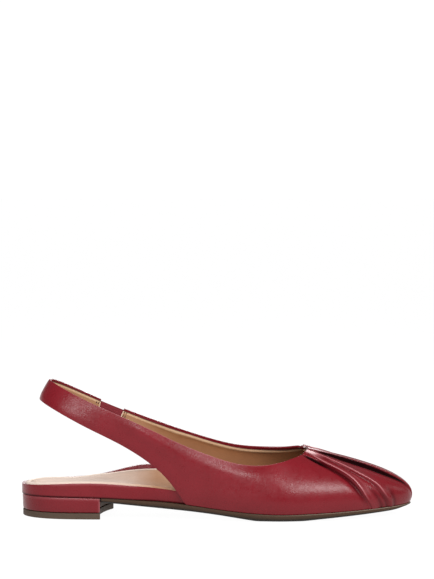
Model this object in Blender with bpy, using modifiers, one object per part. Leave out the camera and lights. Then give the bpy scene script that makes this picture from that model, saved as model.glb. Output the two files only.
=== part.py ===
"""Slingback flat for a woman's right foot, at its real size in metres.

+X runs to the toe, +Y to the inner (medial) side and +Z up. The shoe stands on its heel and forefoot.
Every piece is placed along one sole outline: an angle of 90 degrees is the toe tip, 0 the widest line
of the ball and -90 the back of the heel, on the outer side (-1) or the inner side (+1).
"""

import math
from collections import namedtuple

import bmesh
import bpy
import numpy as np
from mathutils import Vector

OUTER = -1
INNER = 1

# Length and plan of the last
HEEL_X = -0.1287
TOE_X = 0.1272
BALL_X = {OUTER: 0.033, INNER: 0.047}
STRAIGHT_X = 0.030
HEEL_SWING = 0.0052
TOE_SWING = 0.0066

# Thicknesses and clearances
WALL = 0.0017
SEAM = 0.0003
GORE_THICKNESS = 0.0011

# Footbed: the rand is flush with the heel, then steps in for the quarters that wrap it
INSOLE_THICKNESS = 0.0024
INSOLE_PROUD = 0.0005
RAND_WIDTH = 0.0021
RAND_EDGE = 0.0008
RAND_STEP = WALL + 4 * SEAM
RAND_STEP_FROM = -0.060
RAND_STEP_TO = -0.040

# Inner arch of the insole: it rises from the heel, lies below its rim and falls again to the ball
ARCH_RISE_FROM = -0.100
ARCH_RISE_TO = -0.050
ARCH_FALL_FROM = -0.030
ARCH_FALL_TO = 0.010
ARCH_BELOW_RIM = 0.0034
ARCH_STEEPNESS = 2.2

# Outsole edge
OUTSOLE_PROUD = 0.0003
OUTSOLE_BEVEL = 0.0160
OUTSOLE_BEVEL_SHARE = 0.5
OUTSOLE_EDGE_LIFT = 0.0021
OUTSOLE_EDGE_SHARE = 0.36
OUTSOLE_EDGE_ROUND = 0.0009

# Heel
TOP_PIECE_HEIGHT = 0.0040
HEEL_TAPER = 0.0007
HEEL_SUNK = 0.0004
HEEL_EDGE = 0.0006
BREAST_ANGLE = -42.3
BREAST_HOLLOW = 0.0040
BREAST_SKEW = 0.0020
BREAST_HOLLOW_END = 0.035
BREAST_SEAM_ANGLE = 0.3

# Half widths of the sole about its curved centre line
OutlineRow = namedtuple("OutlineRow", "angle outer inner")
OUTLINE = (
    OutlineRow(-90, 0.0, 0.0),
    OutlineRow(-75, 0.0153, 0.0155),
    OutlineRow(-60, 0.0246, 0.0250),
    OutlineRow(-45, 0.0264, 0.0262),
    OutlineRow(-30, 0.0260, 0.0246),
    OutlineRow(-15, 0.0305, 0.0290),
    OutlineRow(0, 0.0380, 0.0380),
    OutlineRow(15, 0.0367, 0.0366),
    OutlineRow(30, 0.0314, 0.0312),
    OutlineRow(45, 0.0237, 0.0236),
    OutlineRow(60, 0.0155, 0.0154),
    OutlineRow(75, 0.0076, 0.0075),
    OutlineRow(90, 0.0, 0.0),
)

# Heights along the shoe: underside and top of the outsole, then the top edge of the footbed rand
ProfileRow = namedtuple("ProfileRow", "x under feather rim_outer rim_inner dish")
PROFILE = (
    ProfileRow(-0.128, 0.0124, 0.0142, 0.0208, 0.0207, 0.0034),
    ProfileRow(-0.100, 0.0120, 0.0143, 0.0231, 0.0214, 0.0040),
    ProfileRow(-0.075, 0.0105, 0.0138, 0.0234, 0.0238, 0.0036),
    ProfileRow(-0.050, 0.0080, 0.0124, 0.0215, 0.0298, 0.0030),
    ProfileRow(-0.025, 0.0058, 0.0106, 0.0184, 0.0282, 0.0024),
    ProfileRow(0.000, 0.0033, 0.0077, 0.0135, 0.0185, 0.0015),
    ProfileRow(0.020, 0.0006, 0.0058, 0.0103, 0.0116, 0.0008),
    ProfileRow(0.037, -0.0010, 0.0050, 0.0090, 0.0092, 0.0004),
    ProfileRow(0.055, -0.0001, 0.0051, 0.0091, 0.0091, 0.0002),
    ProfileRow(0.085, 0.0018, 0.0059, 0.0098, 0.0098, 0.0002),
    ProfileRow(0.110, 0.0031, 0.0066, 0.0106, 0.0106, 0.0002),
    ProfileRow(0.120, 0.0042, 0.0070, 0.0110, 0.0110, 0.0001),
    ProfileRow(0.128, 0.0065, 0.0076, 0.0112, 0.0112, 0.0),
)

# Cross lines of the upper from the toe centre to the back of the strap. The lower end follows the sole
# outline; the upper end is a point of the topline beside the centre line. The rise and flare lead the
# wall up and out of the sole, the crown and drop lead it down from the topline.
CrossLine = namedtuple(
    "CrossLine", "angle inset top_x top_y top_z inner_lift rise flare crown drop"
)
CROSS_LINES = (
    CrossLine(90, 0.0, 0.0597, 0.0, 0.0440, 0.0, 0.0139, 0.0071, 0.80, 0.0141),
    CrossLine(75, 0.0, 0.0594, 0.0040, 0.0439, 0.0002, 0.0142, 0.0069, 0.79, 0.0135),
    CrossLine(60, 0.0, 0.0585, 0.0085, 0.0436, 0.0006, 0.0146, 0.0062, 0.76, 0.0119),
    CrossLine(45, 0.0, 0.0568, 0.0140, 0.0427, 0.0012, 0.0150, 0.0056, 0.71, 0.0101),
    CrossLine(32, 0.0, 0.0533, 0.0200, 0.0412, 0.0021, 0.0146, 0.0050, 0.62, 0.0088),
    CrossLine(20, 0.0, 0.0465, 0.0260, 0.0394, 0.0027, 0.0135, 0.0050, 0.53, 0.0080),
    CrossLine(10, 0.0, 0.0385, 0.0302, 0.0376, 0.0040, 0.0122, 0.0050, 0.45, 0.0082),
    CrossLine(0, 0.0, 0.0270, 0.0325, 0.0363, 0.0052, 0.0112, 0.0048, 0.40, 0.0088),
    CrossLine(-8, 0.0, 0.0115, 0.0320, 0.0377, 0.0053, 0.0112, 0.0041, 0.36, 0.0095),
    CrossLine(-15, 0.0, -0.0060, 0.0298, 0.0428, 0.0047, 0.0118, 0.0030, 0.34, 0.0102),
    CrossLine(-21, 0.0003, -0.0240, 0.0275, 0.0497, 0.0037, 0.0108, 0.0018, 0.33, 0.0098),
    CrossLine(-27.5, 0.0007, -0.0400, 0.0261, 0.0571, 0.0020, 0.0080, 0.0008, 0.33, 0.0078),
    CrossLine(-35, 0.0016, -0.0560, 0.0249, 0.0643, 0.0008, 0.0058, 0.0003, 0.33, 0.0058),
    CrossLine(-45, 0.0038, -0.0750, 0.0222, 0.0723, 0.0006, 0.0048, -0.0003, 0.33, 0.0048),
    CrossLine(-57, 0.0070, -0.0940, 0.0171, 0.0810, 0.0009, 0.0045, -0.0010, 0.33, 0.0045),
    CrossLine(-72, 0.0098, -0.1065, 0.0095, 0.0872, 0.0006, 0.0043, -0.0015, 0.33, 0.0043),
    CrossLine(-90, 0.0112, -0.1107, 0.0, 0.0893, 0.0, 0.0042, -0.0015, 0.33, 0.0042),
)
BACK = len(CROSS_LINES) - 1

# Lower edge of the quarter and strap, which rises from the sole to the back of the heel
CutRow = namedtuple("CutRow", "x z")
REAR_CUT = (
    CutRow(-0.0194, 0.0085),
    CutRow(-0.0304, 0.0242),
    CutRow(-0.0437, 0.0365),
    CutRow(-0.0606, 0.0473),
    CutRow(-0.0863, 0.0600),
    CutRow(-0.1020, 0.0681),
    CutRow(-0.1168, 0.0759),
)

# Ends of the elastic on the inner side, counted in cross lines
GORE_FRONT = 12.34
GORE_REAR = 13.12
GORE_MARGIN = 0.07

# Facets
STEPS_PER_CROSS_LINE = 4
WALL_ROWS = 11
GORE_STEPS = 6
SOLE_STATIONS = 44
BED_STEPS = 6
OUTSOLE_STEPS = 4
HEEL_STEPS = 40
HEEL_BACK_SHARE = 0.72
SHARP_EDGE = math.radians(40)
MERGE = 1e-6


def cubic_through(xs, ys, flat_ends=False):
    """A smooth curve through the points, straight or level at its two ends."""
    xs = np.array(xs, float)
    ys = np.array(ys, float)
    step = np.diff(xs)
    slope = np.diff(ys) / step
    count = len(xs)
    bend = np.eye(count)
    wanted = np.zeros(count)
    for i in range(1, count - 1):
        bend[i, i - 1 : i + 2] = step[i - 1], 2 * (step[i - 1] + step[i]), step[i]
        wanted[i] = 6 * (slope[i] - slope[i - 1])
    if flat_ends:
        bend[0, :2] = 2 * step[0], step[0]
        wanted[0] = 6 * slope[0]
        bend[-1, -2:] = step[-1], 2 * step[-1]
        wanted[-1] = -6 * slope[-1]
    second = np.linalg.solve(bend, wanted)

    def value(x):
        i = int(np.clip(np.searchsorted(xs, x) - 1, 0, count - 2))
        left = xs[i + 1] - x
        right = x - xs[i]
        h = step[i]
        if right < 0:
            start = slope[0] - h * (2 * second[0] + second[1]) / 6
            return ys[0] + start * right
        if left < 0:
            end = slope[-1] + h * (second[-2] + 2 * second[-1]) / 6
            return ys[-1] - end * left
        bent = second[i] * (left**3 / h - h * left) + second[i + 1] * (right**3 / h - h * right)
        return (ys[i] * left + ys[i + 1] * right) / h + bent / 6

    return value


def column(rows, across, name, flat_ends=False):
    return cubic_through(
        [getattr(row, across) for row in rows], [getattr(row, name) for row in rows], flat_ends
    )


def cross_column(name, flat_ends=True):
    return cubic_through(range(len(CROSS_LINES)), [getattr(r, name) for r in CROSS_LINES], flat_ends)


HALF_WIDTH = {OUTER: column(OUTLINE, "angle", "outer"), INNER: column(OUTLINE, "angle", "inner")}
UNDER = column(PROFILE, "x", "under")
FEATHER = column(PROFILE, "x", "feather")
RIM = {OUTER: column(PROFILE, "x", "rim_outer"), INNER: column(PROFILE, "x", "rim_inner")}
DISH = column(PROFILE, "x", "dish")
CUT = column(REAR_CUT[::-1], "x", "z")
ODD_COLUMNS = ("angle", "top_y")
CROSS = {name: cross_column(name, name not in ODD_COLUMNS) for name in CrossLine._fields}


def smooth_step(value, start, end):
    share = min(max((value - start) / (end - start), 0.0), 1.0)
    return share * share * (3 - 2 * share)


def centre_line(x):
    """The last curves: heel and toe lie further in than the waist."""
    if x > STRAIGHT_X:
        return TOE_SWING * ((x - STRAIGHT_X) / (TOE_X - STRAIGHT_X)) ** 2
    return HEEL_SWING * ((STRAIGHT_X - x) / (STRAIGHT_X - HEEL_X)) ** 2


def outline(angle, side):
    """A point of the sole outline in plan."""
    ball = BALL_X[side]
    reach = TOE_X - ball if angle > 0 else ball - HEEL_X
    x = ball + reach * math.sin(math.radians(angle))
    return Vector((x, centre_line(x) + side * HALF_WIDTH[side](angle)))


def outward(angle, side):
    """The outline's normal in plan."""
    along = outline(angle + 0.5, side) - outline(angle - 0.5, side)
    return Vector((-along.y, along.x)).normalized() * side


def inset_outline(angle, side, inset):
    return outline(angle, side) - outward(angle, side) * inset


def cross_line(place, side):
    """The four control points of one cross line of the upper."""
    at = {name: curve(place) for name, curve in CROSS.items()}
    low = inset_outline(at["angle"], side, at["inset"])
    low_z = max(FEATHER(low.x) + SEAM, CUT(low.x))
    top = Vector((at["top_x"], centre_line(at["top_x"]) + side * at["top_y"]))
    top_z = at["top_z"] + (at["inner_lift"] if side == INNER else 0.0)
    flared = low + outward(at["angle"], side) * at["flare"]
    crowned = top + (low - top) * at["crown"]
    return (
        Vector((low.x, low.y, low_z)),
        Vector((flared.x, flared.y, low_z + at["rise"])),
        Vector((crowned.x, crowned.y, top_z - at["drop"])),
        Vector((top.x, top.y, top_z)),
    )


def upper_point(place, side, up):
    """A point of the upper's outer face, from its lower edge (0) to the topline (1)."""
    low, flared, crowned, top = cross_line(place, side)
    down = 1 - up
    return (
        low * down**3 + flared * (3 * down**2 * up) + crowned * (3 * down * up**2) + top * up**3
    )


def material(name, colour, roughness):
    made = bpy.data.materials.new(name)
    made.use_nodes = True
    shader = made.node_tree.nodes["Principled BSDF"]
    shader.inputs["Base Color"].default_value = (*colour, 1.0)
    shader.inputs["Roughness"].default_value = roughness
    shader.inputs["Metallic"].default_value = 0.0
    return made


def mapped_grid(columns, rows, place):
    """A grid whose vertices are moved to place(u, v), with coinciding ones merged."""
    bm = bmesh.new()
    bmesh.ops.create_grid(bm, x_segments=columns, y_segments=rows, size=0.5)
    for vert in bm.verts:
        vert.co = place(vert.co.x + 0.5, vert.co.y + 0.5)
    bmesh.ops.remove_doubles(bm, verts=bm.verts, dist=MERGE)
    return bm


def piece(name, bm, finish, collection):
    mesh = bpy.data.meshes.new(name)
    bm.to_mesh(mesh)
    bm.free()
    mesh.materials.append(finish)
    mesh.shade_smooth()
    mesh.set_sharp_from_angle(angle=SHARP_EDGE)
    made = bpy.data.objects.new(name, mesh)
    collection.objects.link(made)
    return made


def close(bm):
    """Fills the open ends and turns all faces outwards."""
    bmesh.ops.holes_fill(bm, edges=bm.edges, sides=0)
    bmesh.ops.recalc_face_normals(bm, faces=bm.faces)
    if bm.calc_volume(signed=True) < 0:
        bmesh.ops.reverse_faces(bm, faces=bm.faces)


def thicken(made, thickness, sunk=0.0):
    """Gives an open surface its wall, inwards from a face that lies sunk below it."""
    wall = made.modifiers.new("wall", "SOLIDIFY")
    wall.thickness = thickness
    wall.offset = -1 - 2 * sunk / thickness
    wall.use_even_offset = True
    wall.use_quality_normals = True


def make_upper(finish, collection):
    """Vamp, quarters and strap as one band round the foot, open at the elastic."""
    whole = GORE_FRONT + 2 * BACK - GORE_REAR

    def place(u, v):
        along = u * whole - GORE_FRONT
        if along < 0:
            return upper_point(-along, INNER, v)
        if along <= BACK:
            return upper_point(along, OUTER, v)
        return upper_point(2 * BACK - along, INNER, v)

    bm = mapped_grid(round(whole * STEPS_PER_CROSS_LINE), WALL_ROWS, place)
    bmesh.ops.reverse_faces(bm, faces=bm.faces)
    thicken(piece("upper", bm, finish, collection), WALL)


def make_elastic_gore(finish, collection):
    """Elastic strip in the inner side of the strap, a little narrower than the leather."""
    run = (upper_point(GORE_REAR, INNER, 0.5) - upper_point(GORE_FRONT, INNER, 0.5)).length
    seam = SEAM / run * (GORE_REAR - GORE_FRONT)

    def place(u, v):
        along = GORE_FRONT + seam + u * (GORE_REAR - GORE_FRONT - 2 * seam)
        return upper_point(along, INNER, GORE_MARGIN + v * (1 - 2 * GORE_MARGIN))

    bm = mapped_grid(GORE_STEPS, GORE_STEPS, place)
    thicken(piece("elastic_gore", bm, finish, collection), GORE_THICKNESS, (WALL - GORE_THICKNESS) / 2)


def rand_inset(x):
    return RAND_STEP * smooth_step(x, RAND_STEP_FROM, RAND_STEP_TO)


def arch(x):
    """Share of the raised inner arch: 1 at the waist."""
    fall = smooth_step(x, ARCH_FALL_FROM, ARCH_FALL_TO)
    return smooth_step(x, ARCH_RISE_FROM, ARCH_RISE_TO) * (1 - fall)


def across(angle, share, inset):
    """A point in plan on the line across the sole, from the outer edge (0) to the inner edge (1)."""
    ends = []
    for side in (OUTER, INNER):
        x = outline(angle, side).x
        ends.append(inset_outline(angle, side, rand_inset(x) + inset))
    return ends[0].lerp(ends[1], share)


def bed_height(angle, share):
    """Top of the insole: a heel cup, a raised inner arch and a nearly flat forefoot."""
    outer_x = outline(angle, OUTER).x
    inner_x = outline(angle, INNER).x
    outer = RIM[OUTER](outer_x) + INSOLE_PROUD
    inner = RIM[INNER](inner_x) + INSOLE_PROUD - ARCH_BELOW_RIM * arch(inner_x)
    middle_x = (outer_x + inner_x) / 2
    fade = math.sqrt(max(math.cos(math.radians(angle)), 0.0))
    cup = DISH(middle_x) * fade * (1 - abs(2 * share - 1) ** 3)
    return outer + (inner - outer) * share**ARCH_STEEPNESS - cup


def section_loft(stations, section, first=-90.0):
    """A solid through closed sections; section(angle) lists the points of one, all the way round."""
    rings = [section(first + i / stations * (90.0 - first)) for i in range(stations + 1)]
    size = len(rings[0])

    def place(u, v):
        return rings[round(u * stations)][round(v * size) % size]

    bm = mapped_grid(stations, size, place)
    close(bm)
    return bm


def make_insole(finish, collection):
    def section(angle):
        shares = [i / BED_STEPS for i in range(BED_STEPS + 1)]
        inset = RAND_WIDTH + SEAM
        top = []
        under = []
        for share in shares:
            spot = across(angle, share, inset)
            height = bed_height(angle, share)
            top.append(Vector((spot.x, spot.y, height)))
            under.append(Vector((spot.x, spot.y, height - INSOLE_THICKNESS)))
        return top + under[::-1]

    piece("insole", section_loft(SOLE_STATIONS, section), finish, collection)


def make_footbed_rand(finish, collection):
    """Wrapped footbed: a rounded rim round a recess that holds the insole."""

    def section(angle):
        points = []

        def add(share, inset, height):
            spot = across(angle, share, inset)
            points.append(Vector((spot.x, spot.y, height)))

        base = {}
        rim = {}
        for side in (OUTER, INNER):
            x = outline(angle, side).x
            base[side] = FEATHER(x) + SEAM
            rim[side] = RIM[side](x)
        add(0.0, RAND_EDGE, base[OUTER])
        add(1.0, RAND_EDGE, base[INNER])
        add(1.0, 0.0, base[INNER] + RAND_EDGE)
        add(1.0, 0.0, rim[INNER] - RAND_EDGE)
        add(1.0, RAND_EDGE, rim[INNER])
        add(1.0, RAND_WIDTH, rim[INNER] - RAND_EDGE / 4)
        for i in range(BED_STEPS, -1, -1):
            share = i / BED_STEPS
            add(share, RAND_WIDTH, bed_height(angle, share) - INSOLE_THICKNESS - SEAM)
        add(0.0, RAND_WIDTH, rim[OUTER] - RAND_EDGE / 4)
        add(0.0, RAND_EDGE, rim[OUTER])
        add(0.0, 0.0, rim[OUTER] - RAND_EDGE)
        add(0.0, 0.0, base[OUTER] + RAND_EDGE)
        return points

    piece("footbed_rand", section_loft(SOLE_STATIONS, section), finish, collection)


def breast_shift(share):
    """How far the breast lies back from its outer corner: hollow, with the inner corner further forward."""
    return BREAST_HOLLOW * (1 - (2 * share - 1) ** 2) - BREAST_SKEW * share


def make_outsole(finish, collection):
    """Thin sole from the breast to the toe, flat under the ball and rounded along its edge."""
    first = BREAST_ANGLE + BREAST_SEAM_ANGLE
    breast_x = outline(first, OUTER).x
    shares = [i / OUTSOLE_STEPS for i in range(OUTSOLE_STEPS + 1)]

    def section(angle):
        points = []

        def add(share, inset, heights):
            outer, inner = (inset_outline(angle, side, inset) for side in (OUTER, INNER))
            spot = outer.lerp(inner, share)
            low, high = (outline(angle, side) for side in (OUTER, INNER))
            over = (spot.y - low.y) / max(high.y - low.y, MERGE)
            breast = low.x + (high.x - low.x) * over - breast_shift(over)
            spot.x += (breast - spot.x) * (1 - smooth_step(spot.x - breast_x, 0.0, BREAST_HOLLOW_END))
            height = heights[OUTER] + (heights[INNER] - heights[OUTER]) * share
            points.append(Vector((spot.x, spot.y, height)))

        at = {side: outline(angle, side).x for side in (OUTER, INNER)}
        top = {side: FEATHER(x) for side, x in at.items()}
        under = {side: max(UNDER(x), 0.0) for side, x in at.items()}
        thin = {side: OUTSOLE_EDGE_SHARE * (top[side] - under[side]) for side in at}
        edge = {side: under[side] + min(OUTSOLE_EDGE_LIFT, thin[side]) for side in at}
        side_foot = {side: edge[side] + min(OUTSOLE_EDGE_ROUND, thin[side]) for side in at}
        bevel = min(OUTSOLE_BEVEL, OUTSOLE_BEVEL_SHARE * HALF_WIDTH[OUTER](angle))
        rounded = min(OUTSOLE_EDGE_ROUND - OUTSOLE_PROUD, bevel)
        for share in shares:
            add(share, -OUTSOLE_PROUD, top)
        add(1.0, -OUTSOLE_PROUD, side_foot)
        add(1.0, rounded, edge)
        for share in shares[::-1]:
            add(share, bevel, under)
        add(0.0, rounded, edge)
        add(0.0, -OUTSOLE_PROUD, side_foot)
        return points

    piece("outsole", section_loft(SOLE_STATIONS, section, first), finish, collection)


def heel_loop(u, inset):
    """The heel's outline in plan, once round: the outer side, the back, the inner side and the breast."""
    u = u % 1.0
    if u < HEEL_BACK_SHARE:
        turn = u / HEEL_BACK_SHARE * 2 - 1
        angle = -90 + abs(turn) * (90 + BREAST_ANGLE)
        return inset_outline(angle, OUTER if turn < 0 else INNER, inset)
    share = (1 - u) / (1 - HEEL_BACK_SHARE)
    outer, inner = (inset_outline(BREAST_ANGLE, side, inset) for side in (OUTER, INNER))
    spot = outer.lerp(inner, share)
    spot.x -= breast_shift(share)
    return spot


def heel_stack(layers):
    """A solid through level loops of the heel, each with its inset and its height at a point."""

    def place(u, v):
        inset, height = layers[round(v * (len(layers) - 1))]
        spot = heel_loop(u, inset)
        return Vector((spot.x, spot.y, height(spot.x)))

    bm = mapped_grid(HEEL_STEPS, len(layers) - 1, place)
    close(bm)
    return bm


def make_heel_block(finish, collection):
    low = TOP_PIECE_HEIGHT + SEAM
    layers = (
        (HEEL_TAPER + HEEL_EDGE, lambda x: low),
        (HEEL_TAPER, lambda x: low + HEEL_EDGE),
        (HEEL_SUNK, lambda x: FEATHER(x) - HEEL_EDGE),
        (HEEL_SUNK + HEEL_EDGE, lambda x: FEATHER(x)),
    )
    piece("heel_block", heel_stack(layers), finish, collection)


def make_heel_top_piece(finish, collection):
    layers = (
        (HEEL_TAPER + HEEL_EDGE, lambda x: 0.0),
        (HEEL_TAPER, lambda x: HEEL_EDGE),
        (HEEL_TAPER, lambda x: TOP_PIECE_HEIGHT),
    )
    piece("heel_top_piece", heel_stack(layers), finish, collection)


def main():
    for old in list(bpy.data.objects):
        bpy.data.objects.remove(old)
    parts = bpy.data.collections.new("slingback_flat")
    bpy.context.scene.collection.children.link(parts)
    red = material("red_leather", (0.212, 0.015, 0.022), 0.42)
    make_upper(red, parts)
    make_elastic_gore(material("elastic", (0.130, 0.020, 0.024), 0.85), parts)
    make_insole(material("insole_suede", (0.630, 0.450, 0.350), 0.80), parts)
    make_footbed_rand(red, parts)
    make_outsole(material("sole_brown", (0.075, 0.047, 0.030), 0.65), parts)
    make_heel_block(red, parts)
    make_heel_top_piece(material("top_piece_brown", (0.098, 0.063, 0.041), 0.70), parts)


main()
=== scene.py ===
# %% [markdown]
# # A red slingback flat
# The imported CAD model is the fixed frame: it has the shoe's true size and the shape of its last. This
# lesson dresses that frame. Every piece is built again on the same last, with a finer mesh, the pleats
# of the vamp, the lining, the ribbed elastic, the padded sock and the finishes that the photograph shows.

# %% Frame
import math

import bmesh
import bpy
import numpy as np
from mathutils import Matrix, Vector


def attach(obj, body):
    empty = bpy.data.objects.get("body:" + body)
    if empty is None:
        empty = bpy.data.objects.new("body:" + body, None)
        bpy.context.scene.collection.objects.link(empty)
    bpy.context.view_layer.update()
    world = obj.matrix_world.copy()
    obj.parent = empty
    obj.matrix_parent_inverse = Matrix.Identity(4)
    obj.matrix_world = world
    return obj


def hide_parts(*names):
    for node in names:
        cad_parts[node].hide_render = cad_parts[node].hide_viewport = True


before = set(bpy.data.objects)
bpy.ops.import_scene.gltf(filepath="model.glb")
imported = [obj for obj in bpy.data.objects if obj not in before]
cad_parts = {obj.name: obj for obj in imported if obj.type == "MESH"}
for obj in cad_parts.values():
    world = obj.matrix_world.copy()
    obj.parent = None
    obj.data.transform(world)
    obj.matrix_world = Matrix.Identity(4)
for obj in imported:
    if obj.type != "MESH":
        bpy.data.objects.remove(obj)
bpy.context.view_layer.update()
MM = 0.001
OUTER = -1
INNER = 1

# %% [markdown]
# ## The last
# A shoemaker shapes everything round a last. Its sole outline is given by half widths on both sides of a
# curved centre line, its heights by a profile along the shoe, and the upper by cross lines that run from
# the sole up to the topline. These short tables repeat the frame's own sizes, so that each new piece lies
# exactly where its solid lies. +X runs to the toe, +Y to the inner side of the foot and +Z up.

# %% Sizes of the last
HEEL_X = -0.1287
TOE_X = 0.1272
BALL_X = {OUTER: 0.033, INNER: 0.047}
STRAIGHT_X = 0.030
HEEL_SWING = 0.0052
TOE_SWING = 0.0066
WALL = 0.0017
SEAM = 0.0003


def table(names, *rows):
    """The columns of a table, by name."""
    return dict(zip(names.split(), zip(*rows)))


OUTLINE = table(
    "angle outer inner",
    (-90, 0.0, 0.0), (-75, 0.0153, 0.0155), (-60, 0.0246, 0.0250), (-45, 0.0264, 0.0262),
    (-30, 0.0260, 0.0246), (-15, 0.0305, 0.0290), (0, 0.0380, 0.0380), (15, 0.0367, 0.0366),
    (30, 0.0314, 0.0312), (45, 0.0237, 0.0236), (60, 0.0155, 0.0154), (75, 0.0076, 0.0075), (90, 0.0, 0.0),
)
PROFILE = table(
    "x under feather rim_outer rim_inner dish",
    (-0.128, 0.0124, 0.0142, 0.0208, 0.0207, 0.0034),
    (-0.100, 0.0120, 0.0143, 0.0231, 0.0214, 0.0040),
    (-0.075, 0.0105, 0.0138, 0.0234, 0.0238, 0.0036),
    (-0.050, 0.0080, 0.0124, 0.0215, 0.0298, 0.0030),
    (-0.025, 0.0058, 0.0106, 0.0184, 0.0282, 0.0024),
    (0.000, 0.0033, 0.0077, 0.0135, 0.0185, 0.0015),
    (0.020, 0.0006, 0.0058, 0.0103, 0.0116, 0.0008),
    (0.037, -0.0010, 0.0050, 0.0090, 0.0092, 0.0004),
    (0.055, -0.0001, 0.0051, 0.0091, 0.0091, 0.0002),
    (0.085, 0.0018, 0.0059, 0.0098, 0.0098, 0.0002),
    (0.110, 0.0031, 0.0066, 0.0106, 0.0106, 0.0002),
    (0.120, 0.0042, 0.0070, 0.0110, 0.0110, 0.0001),
    (0.128, 0.0065, 0.0076, 0.0112, 0.0112, 0.0),
)
CROSS_LINES = table(
    "angle inset top_x top_y top_z inner_lift rise flare crown drop",
    (90, 0.0, 0.0597, 0.0, 0.0440, 0.0, 0.0139, 0.0071, 0.80, 0.0141),
    (75, 0.0, 0.0594, 0.0040, 0.0439, 0.0002, 0.0142, 0.0069, 0.79, 0.0135),
    (60, 0.0, 0.0585, 0.0085, 0.0436, 0.0006, 0.0146, 0.0062, 0.76, 0.0119),
    (45, 0.0, 0.0568, 0.0140, 0.0427, 0.0012, 0.0150, 0.0056, 0.71, 0.0101),
    (32, 0.0, 0.0533, 0.0200, 0.0412, 0.0021, 0.0146, 0.0050, 0.62, 0.0088),
    (20, 0.0, 0.0465, 0.0260, 0.0394, 0.0027, 0.0135, 0.0050, 0.53, 0.0080),
    (10, 0.0, 0.0385, 0.0302, 0.0376, 0.0040, 0.0122, 0.0050, 0.45, 0.0082),
    (0, 0.0, 0.0270, 0.0325, 0.0363, 0.0052, 0.0112, 0.0048, 0.40, 0.0088),
    (-8, 0.0, 0.0115, 0.0320, 0.0377, 0.0053, 0.0112, 0.0041, 0.36, 0.0095),
    (-15, 0.0, -0.0060, 0.0298, 0.0428, 0.0047, 0.0118, 0.0030, 0.34, 0.0102),
    (-21, 0.0003, -0.0240, 0.0275, 0.0497, 0.0037, 0.0108, 0.0018, 0.33, 0.0098),
    (-27.5, 0.0007, -0.0400, 0.0261, 0.0571, 0.0020, 0.0080, 0.0008, 0.33, 0.0078),
    (-35, 0.0016, -0.0560, 0.0249, 0.0643, 0.0008, 0.0058, 0.0003, 0.33, 0.0058),
    (-45, 0.0038, -0.0750, 0.0222, 0.0723, 0.0006, 0.0048, -0.0003, 0.33, 0.0048),
    (-57, 0.0070, -0.0940, 0.0171, 0.0810, 0.0009, 0.0045, -0.0010, 0.33, 0.0045),
    (-72, 0.0098, -0.1065, 0.0095, 0.0872, 0.0006, 0.0043, -0.0015, 0.33, 0.0043),
    (-90, 0.0112, -0.1107, 0.0, 0.0893, 0.0, 0.0042, -0.0015, 0.33, 0.0042),
)
BACK = len(CROSS_LINES["angle"]) - 1
REAR_CUT = table(
    "x z",
    (-0.1168, 0.0759), (-0.1020, 0.0681), (-0.0863, 0.0600), (-0.0606, 0.0473),
    (-0.0437, 0.0365), (-0.0304, 0.0242), (-0.0194, 0.0085),
)
# The elastic's two ends, counted in cross lines, and the share of the strap left free at its edges
GORE_FRONT = 12.34
GORE_REAR = 13.12
GORE_MARGIN = 0.07
print(BACK + 1, "cross lines from the toe to the back of the strap")


# %% [markdown]
# ## Smooth curves from the tables
# Each column of a table becomes one smooth curve, a cubic spline, and the curves work on whole arrays of
# places at once. That lets a grid of thousands of points be laid on the last in one go.

# %% Curves
def cubic_through(xs, ys, flat_ends=False):
    """A smooth curve through the points that runs straight on beyond its ends."""
    xs = np.array(xs, float)
    ys = np.array(ys, float)
    step = np.diff(xs)
    slope = np.diff(ys) / step
    count = len(xs)
    bend = np.eye(count)
    wanted = np.zeros(count)
    for i in range(1, count - 1):
        bend[i, i - 1 : i + 2] = step[i - 1], 2 * (step[i - 1] + step[i]), step[i]
        wanted[i] = 6 * (slope[i] - slope[i - 1])
    if flat_ends:
        bend[0, :2] = 2 * step[0], step[0]
        wanted[0] = 6 * slope[0]
        bend[-1, -2:] = step[-1], 2 * step[-1]
        wanted[-1] = -6 * slope[-1]
    second = np.linalg.solve(bend, wanted)
    start = slope[0] - step[0] * (2 * second[0] + second[1]) / 6
    end = slope[-1] + step[-1] * (second[-2] + 2 * second[-1]) / 6

    def value(x):
        x = np.asarray(x, float)
        i = np.clip(np.searchsorted(xs, x) - 1, 0, count - 2)
        h = step[i]
        left = xs[i + 1] - x
        right = x - xs[i]
        bent = second[i] * (left**3 / h - h * left) + second[i + 1] * (right**3 / h - h * right)
        inside = (ys[i] * left + ys[i + 1] * right) / h + bent / 6
        before = ys[0] + start * (x - xs[0])
        after = ys[-1] + end * (x - xs[-1])
        return np.where(x < xs[0], before, np.where(x > xs[-1], after, inside))

    return value


def column(rows, across, name):
    return cubic_through(rows[across], rows[name])


def smooth_step(value, start, end):
    share = np.clip((value - start) / (end - start), 0.0, 1.0)
    return share * share * (3 - 2 * share)


def rise_and_fall(value, rise, fall):
    """Grows from 0 to 1 over one range and back to 0 over a later one."""
    return smooth_step(value, *rise) * (1 - smooth_step(value, *fall))


def eased(rows, x):
    """A curve through (x, height) rows without overshoot: crests and troughs stay at their rows."""
    xs, ys = np.array(rows, float).T
    step = np.diff(xs)
    slope = np.diff(ys) / step
    lean = np.zeros(len(xs))
    same = slope[:-1] * slope[1:] > 0
    lean[1:-1][same] = 2 * slope[:-1][same] * slope[1:][same] / (slope[:-1] + slope[1:])[same]
    i = np.clip(np.searchsorted(xs, x) - 1, 0, len(xs) - 2)
    t = np.clip((x - xs[i]) / step[i], 0.0, 1.0)
    from_left = (1 + 2 * t) * ys[i] + t * step[i] * lean[i]
    from_right = (3 - 2 * t) * ys[i + 1] - (1 - t) * step[i] * lean[i + 1]
    return (1 - t) ** 2 * from_left + t**2 * from_right


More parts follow.
